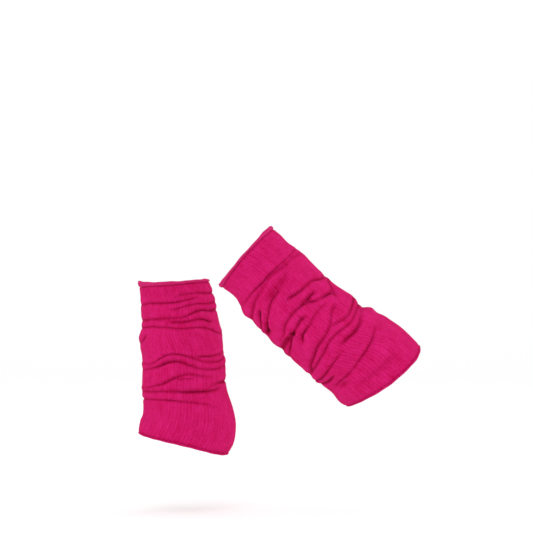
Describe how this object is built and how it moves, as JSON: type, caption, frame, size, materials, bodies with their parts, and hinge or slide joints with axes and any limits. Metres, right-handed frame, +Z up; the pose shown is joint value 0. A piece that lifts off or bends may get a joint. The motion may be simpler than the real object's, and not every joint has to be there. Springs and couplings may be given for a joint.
{
  "type": "pair of leg warmers",
  "caption": "Pair of slouched rib-knit leg warmers as worn, hollow tubes with rolled top welts and overlocked ankle edges.",
  "frame": {"origin": "centre of the standing warmer's top opening, where the leg goes in and the calf holds it up", "axes": "+Z up along the body, +X behind the wearer, who faces -X, -Y at the wearer's left side"},
  "size_m": [0.4126, 0.282, 0.3389],
  "materials": {
    "rib_knit": "matt magenta acrylic rib knit, soft and slightly fuzzy",
    "rolled_welt": "matt rose-magenta plain knit, rolled",
    "overlock_edge": "matt magenta overlock thread"
  },
  "bodies": {
    "root": {"standing_tube": "rib_knit", "standing_top_welt": "rolled_welt", "standing_ankle_edge": "overlock_edge", "trailing_tube": "rib_knit", "trailing_top_welt": "rolled_welt", "trailing_ankle_edge": "overlock_edge"}
  },
  "joints": []
}
